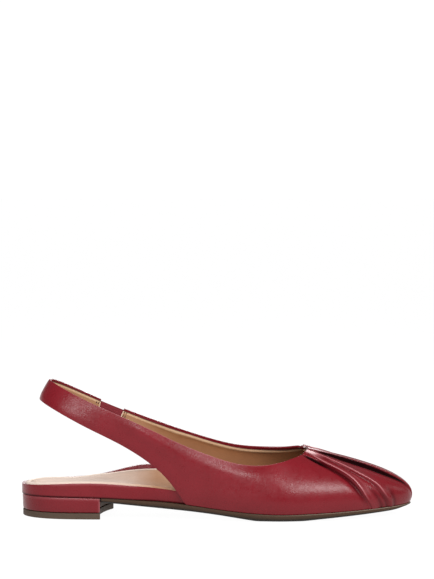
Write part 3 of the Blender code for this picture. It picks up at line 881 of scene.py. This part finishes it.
def place_lining(u, v):
    along = column_place(lining_columns, u)
    count, _ = on_band(along)
    length = cross_length(count, 0.9, 1.0)
    below = LINING_BELOW_TOP + (LINING_BELOW_STRAP - LINING_BELOW_TOP) * smooth_step(count, *STRAP_STARTS)
    top = 1 - below / length
    low = LINING_ABOVE_EDGE / length
    under_top = top - SHADED_LINE / length
    even = low + (under_top - low) * np.minimum(v * LINING_ROWS / (LINING_ROWS - 1), 1.0)
    last_row = v > 1 - 0.5 / LINING_ROWS
    up = np.where(last_row, top, even)
    from_tape = ((1 - up) * length - TAPE_BELOW) / TAPE_HALF
    ridge = TAPE_RIDGE * np.exp(-(from_tape**2)) * rise_and_fall(count, TAPE_STARTS, TAPE_ENDS)
    depth = LEATHER + LINING_GLUE + ridge
    spots, _ = band_points(slanted(along, up), up, depth, pleated=False, shoved=False)
    lining_marks["raw"] = np.abs(u - 0.5) > 0.5 - 0.5 / len(lining_columns)
    lining_marks["shade"] = last_row
    # Painted highlight along the folded top of the lining
    lining_marks["edge"] = 1 - smooth_step((top - up) * length, *EDGE_HIGHLIGHT_SPAN)
    return spots


bm = mapped_grid(len(lining_columns) - 1, LINING_ROWS, place_lining, merge=False)
make_band("upper_lining", bm, lining_marks, lining.made, LINING, LINING_ROUND)

# %% [markdown]
# ## Elastic
# A short ribbed elastic joins the two ends of the strap. Its ribs run along the strap, so rows of the grid
# are lifted in a wave.

# %% Elastic
ELASTIC = 0.0011
ELASTIC_ROUND = 0.0003
ELASTIC_SUNK = 0.0003
ELASTIC_GAP = 0.004
ELASTIC_COLUMNS = 30
ROWS_PER_RIB = 6
RIBS = 9
RIB_HEIGHT = 0.00022


def place_elastic(u, v):
    up = GORE_MARGIN + v * (1 - 2 * GORE_MARGIN)
    front = GORE_FRONT + FRONT_SLANT * (1 - up) + ELASTIC_GAP
    place = front + u * (GORE_REAR - ELASTIC_GAP - front)
    spot, way_out, _ = upper_frame(place, INNER, up)
    rib = RIB_HEIGHT * np.abs(np.sin(np.pi * RIBS * v))
    return spot + way_out * (rib - ELASTIC_SUNK - RIB_HEIGHT - edge_turn(place, up))[..., None]


bm = mapped_grid(ELASTIC_COLUMNS, RIBS * ROWS_PER_RIB, place_elastic, merge=False)
mark_rim(bm)
strap_elastic = make_piece("strap_elastic", bm, elastic.made, "elastic_gore")
thicken(strap_elastic, ELASTIC, ELASTIC_ROUND)

# %% [markdown]
# ## Stitches
# Two rows of stitches hold each end of the strap to the elastic. A stitch is a small flattened ball, drawn
# out along its row, on the lining inside and on the leather outside.

# %% Stitches
STITCH_LENGTH = 0.0018
STITCH_WIDTH = 0.00075
STITCH_HEIGHT = 0.8 * STITCH_WIDTH
STITCH_GAP = 0.0006
STITCH_MARGIN = 0.0018
ROWS_FROM_END = (0.0013, 0.0029)


def strap_point(place, up):
    return upper_face(np.array([place]), INNER, np.array([up]))[0]


def add_stitch(bm, place, slant, up, depth):
    """One stitch on the strap's inner half, along a row that slants towards the sole."""
    step = 0.01
    at, above, below = (place + slant * (1 - up - way) for way in (0.0, step, -step))
    spot, way_out, _ = (found[0] for found in upper_frame(np.array([at]), INNER, np.array([up])))
    rise = unit(strap_point(above, up + step) - strap_point(below, up - step))
    across = np.cross(rise, way_out)
    centre = spot - way_out * (depth + edge_turn(np.array([at]), np.array([up]))[0])
    ball = bmesh.ops.create_uvsphere(bm, u_segments=8, v_segments=6, radius=0.5)
    axes = np.stack([across * STITCH_WIDTH, way_out * STITCH_HEIGHT, rise * STITCH_LENGTH])
    for vert in ball["verts"]:
        vert.co = Vector(centre + np.array(vert.co) @ axes)


def stitch_rows(name, depth, finish):
    bm = bmesh.new()
    step = 0.05
    for end, way, slant in ((GORE_FRONT, -1, FRONT_SLANT), (GORE_REAR, 1, 0.0)):
        per_place = np.linalg.norm(strap_point(end + step * way, 0.5) - strap_point(end, 0.5)) / step
        for distance in ROWS_FROM_END:
            place = end + way * distance / per_place
            height = np.linalg.norm(strap_point(place, 1.0) - strap_point(place, 0.0))
            room = height - 2 * STITCH_MARGIN
            count = int(room / (STITCH_LENGTH + STITCH_GAP))
            for i in range(count):
                add_stitch(bm, place, slant, (STITCH_MARGIN + (i + 0.5) * room / count) / height, depth)
    bmesh.ops.recalc_face_normals(bm, faces=bm.faces)
    make_piece(name, bm, finish)


stitch_rows("stitches_inside", LEATHER + LINING + LINING_GLUE, thread.made)
stitch_rows("stitches_outside", 0.0, red_thread.made)


# %% [markdown]
# ## Footbed: section by section
# The sock, the wrapped footbed under it, and the outsole are lofts: closed sections across the shoe at
# stations from the heel to the toe. One grid carries a loft. Its columns are stations and its rows run
# once round each section, so the last row is merged with the first.

# %% Loft helpers
INSOLE_THICKNESS = 0.0024
INSOLE_PROUD = 0.0005
RAND_WIDTH = 0.0021
RAND_EDGE = 0.0008
RAND_STEP = WALL + 4 * SEAM
RAND_STEP_AT = (-0.060, -0.040)
ARCH_BELOW_RIM = 0.0034
ARCH_STEEPNESS = 2.2
ARCH_RISES, ARCH_FALLS = (-0.085, -0.045), (-0.030, 0.010)
# The inner rim of the sock sinks a little beside the heel
INNER_SINK = 0.0008
SINK_STARTS, SINK_ENDS = (-0.118, -0.095), (-0.095, -0.078)


def loft(stations, section, first=-90.0):
    """A closed solid through sections; section(angles) gives stations by points by 3, once round."""
    angles = np.linspace(first, 90.0, stations + 1)
    rings = section(angles)
    size = rings.shape[1]

    def place(u, v):
        i = np.rint(u * stations).astype(int)
        j = np.rint(v * size).astype(int) % size
        return rings[i, j]

    return close_solid(mapped_grid(stations, size, place))


def vertices(bm):
    """The x, y and z of all vertices."""
    return np.array([vert.co for vert in bm.verts]).T


def ring_rows(bm, size):
    """For each vertex of a loft the row that it has in its section."""
    uv = bm.loops.layers.uv["UVMap"]
    return [round(vert.link_loops[0][uv].uv.y * size) for vert in bm.verts]


def across_sole(angle, share, inset, stepped=True):
    """A point in plan on the line across the sole, from the outer edge (0) to the inner edge (1)."""
    ends = []
    for side in (OUTER, INNER):
        extra = RAND_STEP * smooth_step(outline(angle, side)[..., 0], *RAND_STEP_AT) if stepped else 0.0
        ends.append(inset_outline(angle, side, inset + extra + 0 * angle))
    return ends[0] + (ends[1] - ends[0]) * share


def sections(angles, rows, stepped=True):
    """Sections at the angles from rows of (share across the sole, inset from its edge, height)."""
    rings = []
    for share, inset, height in rows:
        plan = across_sole(angles, share, inset, stepped)
        rings.append(stacked(plan[..., 0], plan[..., 1], height))
    return np.stack(rings, axis=1)


def by_side(value):
    return {side: value(side) for side in (OUTER, INNER)}


def bed_height(angle, share):
    """Top of the sock: a heel cup, a raised inner arch and a nearly flat forefoot."""
    outer_x = outline(angle, OUTER)[..., 0]
    inner_x = outline(angle, INNER)[..., 0]
    outer = RIM[OUTER](outer_x) + INSOLE_PROUD
    inner = RIM[INNER](inner_x) + INSOLE_PROUD
    inner -= ARCH_BELOW_RIM * rise_and_fall(inner_x, ARCH_RISES, ARCH_FALLS)
    inner -= INNER_SINK * rise_and_fall(inner_x, SINK_STARTS, SINK_ENDS)
    fade = np.sqrt(np.maximum(np.cos(np.radians(angle)), 0.0))
    inner = outer + (inner - outer) * smooth_step(fade, 0.0, 0.5)
    cup = DISH((outer_x + inner_x) / 2) * fade * (1 - np.abs(2 * share - 1) ** 3)
    return outer + (inner - outer) * share**ARCH_STEEPNESS - cup


# %% [markdown]
# ## Padded sock
# The sock is a thin pad with a raised bead round its edge and a pressed groove inside the bead. The bead
# follows the outline at a fixed distance, so the sections have close points near both edges and even ones
# between. On the inner side, which is seen, the bead gets a painted highlight and the groove painted shade.

# %% Padded sock
BORDER = (0.0, 0.0004, 0.0009, 0.0014, 0.0019, 0.0024, 0.0029, 0.0034, 0.0040, 0.0047, 0.0055)
UNDER_BORDER = 0.0004
SOCK_STEPS = 26
SOCK_STATIONS = 170
# Millimetres from the edge, with the height there in millimetres, or the painted highlight or shade there
BEAD = ((0.0, -0.5), (1.4, 0.40), (3.7, -0.35), (5.5, 0.0))
BEAD_HIGHLIGHT = ((0.0, 0.5), (0.4, 0.8), (2.4, 0.8), (3.0, 0.0))
GROOVE_SHADE = ((2.8, 0.0), (3.4, 0.45), (4.6, 0.45), (5.5, 0.0))


def sock_section(angles):
    top = [(0.0, inset) for inset in BORDER[:-1]]
    top += [(i / SOCK_STEPS, BORDER[-1]) for i in range(SOCK_STEPS + 1)]
    top += [(1.0, inset) for inset in BORDER[-2::-1]]
    rows = [(share, inset, bed_height(angles, share) + eased(BEAD, inset / MM) * MM) for share, inset in top]
    for i in range(SOCK_STEPS // 2, -1, -1):
        share = i / (SOCK_STEPS // 2)
        rows.append((share, UNDER_BORDER, bed_height(angles, share) - INSOLE_THICKNESS))
    edge = RAND_WIDTH + SEAM / 2
    return sections(angles, [(share, edge + inset, height) for share, inset, height in rows])


bm = loft(SOCK_STATIONS, sock_section)
inner_border = len(BORDER) + SOCK_STEPS
size = inner_border + len(BORDER) - 1 + SOCK_STEPS // 2 + 1
row_marks = {"bead_highlight": np.zeros(size + 1), "groove": np.zeros(size + 1)}
# Painted highlight on the bead and painted shade in the groove, row by row
for i, inset in enumerate(BORDER[-2::-1]):
    row_marks["bead_highlight"][inner_border + i] = eased(BEAD_HIGHLIGHT, inset / MM)
    row_marks["groove"][inner_border + i] = eased(GROOVE_SHADE, inset / MM)
store_marks(bm, {name: shares[ring_rows(bm, size)] for name, shares in row_marks.items()})
padded_sock = make_piece("padded_sock", bm, sock.made, "insole")

# %% [markdown]
# ## Wrapped footbed
# The board under the sock is wrapped in the same red leather. It shows as a band from the heel to the
# waist, with rounded edges, and goes on inside the upper to the toe. Its upper edge beside the heel gets a
# painted highlight, and painted shade darkens the seam that parts it from the heel and the sole below.

# %% Wrapped footbed
BED_STEPS = 12
BED_STATIONS = 150
BED_UNDER = 0.004
BED_ROUND = 0.0009
BAND_SEAM = 0.0011
SEAM_SHADE = 0.8
RIM_BELOW = 0.0016
RIM_HIGHLIGHT = 0.32
HIGHLIGHT_STARTS, HIGHLIGHT_ENDS = (-0.118, -0.095), (-0.065, -0.045)
# The inner rim rises a little at the waist
WAIST_RISE = 0.0005
WAIST_STARTS, WAIST_ENDS = (-0.085, -0.070), (-0.045, -0.030)


def footbed_section(angles):
    at = by_side(lambda side: outline(angles, side)[..., 0])
    base = by_side(lambda side: FEATHER(at[side]) + SEAM)
    rim = by_side(lambda side: RIM[side](at[side]))
    rim[INNER] += WAIST_RISE * rise_and_fall(at[INNER], WAIST_STARTS, WAIST_ENDS)
    rows = [
        (0.0, 0.0, base[OUTER] + BAND_SEAM),
        (0.0, 0.0, base[OUTER]),
        (0.0, BED_UNDER, base[OUTER]),
        (1.0, BED_UNDER, base[INNER]),
        (1.0, 0.0, base[INNER]),
        (1.0, 0.0, base[INNER] + BAND_SEAM),
        (1.0, 0.0, rim[INNER]),
        (1.0, RAND_WIDTH, rim[INNER] - RAND_EDGE / 4),
    ]
    for i in range(BED_STEPS, -1, -1):
        share = i / BED_STEPS
        rows.append((share, RAND_WIDTH, bed_height(angles, share) - INSOLE_THICKNESS - SEAM))
    rows += [
        (0.0, RAND_WIDTH, rim[OUTER] - RAND_EDGE / 4),
        (0.0, 0.0, rim[OUTER]),
        (0.0, 0.0, rim[OUTER] - RIM_BELOW),
    ]
    return sections(angles, rows)


bm = loft(BED_STATIONS, footbed_section)
size = footbed_section(np.zeros(1)).shape[1]
x, _, z = vertices(bm)
on_rim = np.array(ring_rows(bm, size)) == size - 2
# Painted shade in the seam above the heel and the sole
at_seam = z < FEATHER(x) + SEAM + 0.1 * MM
# Painted highlight on the rim beside the heel
highlit = RIM_HIGHLIGHT * on_rim * rise_and_fall(x, HIGHLIGHT_STARTS, HIGHLIGHT_ENDS)
store_marks(bm, {"painted_shade": SEAM_SHADE * at_seam, "painted_highlight": highlit})
footbed_band = make_piece("footbed_band", bm, red.made, "footbed_rand")
round_edges(footbed_band, BED_ROUND)

# %% [markdown]
# ## Outsole
# A thin brown sole from the heel breast to the toe. Its edge stands a little proud of the upper and rolls
# under to a flat tread below the ball.

# %% Outsole
BREAST_ANGLE = -42.3
BREAST_HOLLOW = 0.0040
BREAST_SKEW = 0.0020
BREAST_HOLLOW_END = 0.035
OUTSOLE_PROUD = 0.0005
OUTSOLE_BEVEL = 0.0160
OUTSOLE_EDGE_LIFT = 0.0021
OUTSOLE_FOOT_LIFT = 0.0009
OUTSOLE_EDGE_SHARE = 0.36
OUTSOLE_LIP = 0.30
OUTSOLE_ROUND = 0.0004
SOLE_STATIONS = 130
SOLE_STEPS = 10
# The roll of the edge: inset and share of the way from the side (0) down to the tread (1)
ROLL = ((-OUTSOLE_PROUD, 0.0), (0.0, 0.35), (0.0012, 0.60), (0.0035, 0.82))
LIP_HIGHLIGHT = 0.85
LIP_HIGHLIGHT_FROM = (0.0, 0.13)
LIP_SHARE = 0.05
TREAD_SHADE_SHARE = (0.36, 0.60)


def breast_shift(share):
    return BREAST_HOLLOW * (1 - (2 * share - 1) ** 2) - BREAST_SKEW * share


def outsole_section(angles):
    at = by_side(lambda side: outline(angles, side)[..., 0])
    top = by_side(lambda side: FEATHER(at[side]))
    under = by_side(lambda side: np.maximum(UNDER(at[side]), 0.0))
    thin = by_side(lambda side: OUTSOLE_EDGE_SHARE * (top[side] - under[side]))
    edge = by_side(lambda side: under[side] + np.minimum(OUTSOLE_EDGE_LIFT, thin[side]))
    foot = by_side(lambda side: edge[side] + np.minimum(OUTSOLE_FOOT_LIFT, thin[side]))
    lip = by_side(lambda side: top[side] - OUTSOLE_LIP * (top[side] - foot[side]))
    bevel_inset = np.minimum(OUTSOLE_BEVEL, 0.5 * HALF_WIDTH[OUTER](angles))

    def level(heights, share):
        return heights[OUTER] + (heights[INNER] - heights[OUTER]) * share

    def rolled(side):
        """The edge of one side, from its lip down to the tread."""
        rows = [(-OUTSOLE_PROUD, lip[side])]
        for inset, way in ROLL:
            rows.append((np.minimum(inset, bevel_inset), foot[side] + (under[side] - foot[side]) * way))
        return rows

    shares = [i / SOLE_STEPS for i in range(SOLE_STEPS + 1)]
    rows = [(share, -OUTSOLE_PROUD, level(top, share)) for share in shares]
    rows += [(1.0, inset, height) for inset, height in rolled(INNER)]
    rows += [(share, bevel_inset, level(under, share)) for share in shares[::-1]]
    rows += [(0.0, inset, height) for inset, height in rolled(OUTER)[::-1]]
    rings = sections(angles, rows, stepped=False)

    low, high = (outline(angles, side)[:, None] for side in (OUTER, INNER))
    over = (rings[..., 1] - low[..., 1]) / np.maximum(high[..., 1] - low[..., 1], 1e-6)
    breast = low[..., 0] + (high[..., 0] - low[..., 0]) * over - breast_shift(over)
    near = 1 - smooth_step(rings[..., 0] - at[OUTER][0], 0.0, BREAST_HOLLOW_END)
    rings[..., 0] += (breast - rings[..., 0]) * near
    return rings


bm = loft(SOLE_STATIONS, outsole_section, BREAST_ANGLE + 0.3)
x, _, z = vertices(bm)
down = (FEATHER(x) - z) / np.maximum(FEATHER(x) - np.maximum(UNDER(x), 0.0), 1e-6)
# Painted highlight on the lip towards the toe
lip_highlight = LIP_HIGHLIGHT * (down < LIP_SHARE) * smooth_step(x, *LIP_HIGHLIGHT_FROM)
# Painted shade darkens the roll of the edge down to the tread
store_marks(bm, {"lip": lip_highlight, "tread_shade": smooth_step(down, *TREAD_SHADE_SHARE)})
outsole_brown = make_piece("outsole_brown", bm, sole.made, "outsole")
round_edges(outsole_brown, OUTSOLE_ROUND, 50)

# %% [markdown]
# ## Heel
# The heel block is wrapped in red leather on its sides, with a softly rounded top edge that gets a painted
# highlight, as does its front corner. Its hollow front, the breast, is faced with the brown of the sole. A
# brown wear piece closes it below. Both are stacks of level loops of the same heel outline.

# %% Heel
HEEL_STEPS = 150
HEEL_BACK_SHARE = 0.74
TOP_PIECE_HEIGHT = 0.0040
HEEL_TAPER = 0.0007
HEEL_SUNK = 0.0004
HEEL_ROUND = 0.0011
TOP_PIECE_ROUND = 0.0005
TOP_EDGE_HIGHLIGHT = 0.28
CORNER_HIGHLIGHT = 0.32
CORNER_REACH = 0.0006
FACES_BREAST = 0.75


def heel_loop(u, inset):
    """The heel's outline in plan, once round: the outer side, the back, the inner side and the breast."""
    u = u % 1.0
    turn = np.clip(u / HEEL_BACK_SHARE, 0, 1) * 2 - 1
    angle = -90 + np.abs(turn) * (90 + BREAST_ANGLE)
    inset = inset + 0 * u
    outer, inner = (inset_outline(angle, side, inset) for side in (OUTER, INNER))
    round_back = np.where((turn < 0)[..., None], outer, inner)
    share = np.clip((1 - u) / (1 - HEEL_BACK_SHARE), 0, 1)
    ends = [inset_outline(BREAST_ANGLE + 0 * u, side, inset) for side in (OUTER, INNER)]
    breast = ends[0] + (ends[1] - ends[0]) * share[..., None]
    breast = breast - stacked(breast_shift(share), 0 * share)
    return np.where((u < HEEL_BACK_SHARE)[..., None], round_back, breast)


def heel_stack(layers):
    """A closed solid through level loops; a layer is its inset and its height at each point."""
    count = len(layers) - 1

    def place(u, v):
        spots = np.zeros((len(u), 3))
        for k, (inset, height) in enumerate(layers):
            here = np.rint(v * count) == k
            plan = heel_loop(u[here], inset)
            spots[here] = stacked(plan[..., 0], plan[..., 1], height(plan[..., 0]))
        return spots

    return close_solid(mapped_grid(HEEL_STEPS, count, place))


heel_low = TOP_PIECE_HEIGHT + SEAM
bm = heel_stack(
    (
        (HEEL_TAPER, lambda x: heel_low + 0 * x),
        ((HEEL_TAPER + HEEL_SUNK) / 2, lambda x: (heel_low + FEATHER(x)) / 2),
        (HEEL_SUNK, lambda x: FEATHER(x) - 2 * HEEL_ROUND),
        (HEEL_SUNK, lambda x: FEATHER(x)),
    )
)
corner = heel_loop(np.zeros(1), HEEL_SUNK)[0]
x, y, z = vertices(bm)
at_top = z > FEATHER(x) - 0.1 * MM
at_corner = np.hypot(x - corner[0], y - corner[1]) < CORNER_REACH
# Painted highlight on the top edge and the front corner
store_marks(bm, {"painted_highlight": np.maximum(TOP_EDGE_HIGHLIGHT * at_top, CORNER_HIGHLIGHT * at_corner)})
for face in bm.faces:
    face.material_index = int(face.normal.x > FACES_BREAST)
heel_wrapped = make_piece("heel_wrapped", bm, red.made, "heel_block")
heel_wrapped.data.materials.append(sole.made)
round_edges(heel_wrapped, HEEL_ROUND)

bm = heel_stack(((HEEL_TAPER, lambda x: 0 * x), (HEEL_TAPER, lambda x: TOP_PIECE_HEIGHT + 0 * x)))
heel_wear_piece = make_piece("heel_wear_piece", bm, wear.made, "heel_top_piece")
round_edges(heel_wear_piece, TOP_PIECE_ROUND)

# %% [markdown]
# ## Studio
# A pale floor that glows softly, and a surround that is bright behind the shoe and dim elsewhere, stand in
# for a white studio.

# %% Floor and surround
FLOOR_SIZE = 60.0
FLOOR_GLOW = 0.975
WHITE = (1.0, 1.0, 1.0, 1.0)
DIM, BRIGHT = 0.22, 1.02

floor_finish = Finish("pale_floor", (0.05, 0.05, 0.05), 0.9, 0.05)
floor_finish.set("Emission Color", WHITE)
floor_finish.set("Emission Strength", FLOOR_GLOW)
bm = bmesh.new()
bmesh.ops.create_grid(bm, x_segments=1, y_segments=1, size=FLOOR_SIZE / 2)
floor = mesh_object("floor", bm, floor_finish.made)

world = bpy.data.worlds.new("surround")
world.use_nodes = True
bpy.context.scene.world = world
tree = world.node_tree
direction = add_node(tree, "TexCoord").outputs["Generated"]
split = add_node(tree, "SeparateXYZ", Vector=direction)


def world_ramp(source, low, high, to_low, to_high):
    made = map_range(tree, source, low, high, to_low, to_high)
    made.interpolation_type = "SMOOTHSTEP"
    return made.outputs["Result"]


both = add_node(tree, "Math")
both.operation = "MULTIPLY"
give(tree, both.inputs[0], world_ramp(split.outputs["Y"], 0.15, 0.50, 0.0, 1.0))
give(tree, both.inputs[1], world_ramp(split.outputs["Z"], 0.10, 0.27, 1.0, 0.0))
surround = tree.nodes["Background"].inputs
give(tree, surround["Strength"], world_ramp(both.outputs[0], 0.0, 1.0, DIM, BRIGHT))
give(tree, surround["Color"], WHITE)
print("floor", FLOOR_SIZE, "m wide, surround from", DIM, "to", BRIGHT)


# %% [markdown]
# ### Soft boxes
# Six soft boxes: a long one to the right for the sheen on the vamp, one at the heel's side for the light
# patch on the strap, one between them for the quarter, a weak one at the toe, one behind for the far edges
# of the pleats, and one above.

# %% Soft boxes
def soft_box(name, spot, aim, size, power):
    light = bpy.data.lights.new(name, "AREA")
    light.shape = "RECTANGLE"
    light.size, light.size_y = size
    light.energy = power
    made = link_new(name, light)
    made.location = spot
    made.rotation_euler = (Vector(aim) - Vector(spot)).to_track_quat("-Z", "Y").to_euler()


def from_camera_side(turn, rise, distance):
    """A spot round the shoe: turn degrees to the right of the camera and rise degrees up."""
    turn, rise = math.radians(turn), math.radians(rise)
    flat = math.cos(rise) * distance
    return (math.sin(turn) * flat, -math.cos(turn) * flat, math.sin(rise) * distance)


soft_box("key", from_camera_side(45, 35, 1.4), (0.03, 0.0, 0.03), (0.95, 0.34), 16.4)
soft_box("strap_side", from_camera_side(-33, 19, 1.3), (-0.06, 0.0, 0.05), (0.24, 0.36), 4.0)
soft_box("quarter_side", from_camera_side(-13, 34, 1.3), (-0.02, 0.0, 0.05), (0.3, 0.38), 5.8)
soft_box("toe_side", from_camera_side(98, 24, 1.2), (0.1, 0.0, 0.03), (0.3, 0.3), 0.6)
soft_box("behind", from_camera_side(184, 22, 1.3), (0.03, 0.0, 0.04), (0.45, 0.2), 3.0)
soft_box("above", (-0.45, 0.15, 1.3), (-0.06, 0.0, 0.02), (0.5, 0.5), 6.0)

# %% [markdown]
# ## Camera
# The photograph looks straight at the outer side from a little above, through a long lens. The camera
# stands where that view was found and is tilted so that the shoe lies in the lower half of the frame.

# %% Camera
IMAGE_HEIGHT = 579
LOOK_AT = Vector((-0.0002, 0.0, 0.035))
ELEVATION = math.radians(7.0)
DISTANCE = 1.5
PIXELS_PER_METRE = 1522.0
LOOK_AT_ROW = 462.0
SENSOR = 36.0

below_middle = math.atan((LOOK_AT_ROW - IMAGE_HEIGHT / 2) / (PIXELS_PER_METRE * DISTANCE))
focal_pixels = PIXELS_PER_METRE * DISTANCE * math.cos(below_middle)
camera_data = bpy.data.cameras.new("camera")
camera_data.sensor_width = SENSOR
camera_data.lens = SENSOR * focal_pixels / IMAGE_HEIGHT
camera_data.clip_start = 0.05
camera = link_new("camera", camera_data)
camera.location = LOOK_AT + Vector((0.0, -math.cos(ELEVATION), math.sin(ELEVATION))) * DISTANCE
camera.rotation_euler = (math.pi / 2 - ELEVATION + below_middle, 0.0, 0.0)
bpy.context.scene.camera = camera
bpy.context.scene.view_settings.view_transform = "Standard"
print("lens", round(camera_data.lens, 1), "mm")
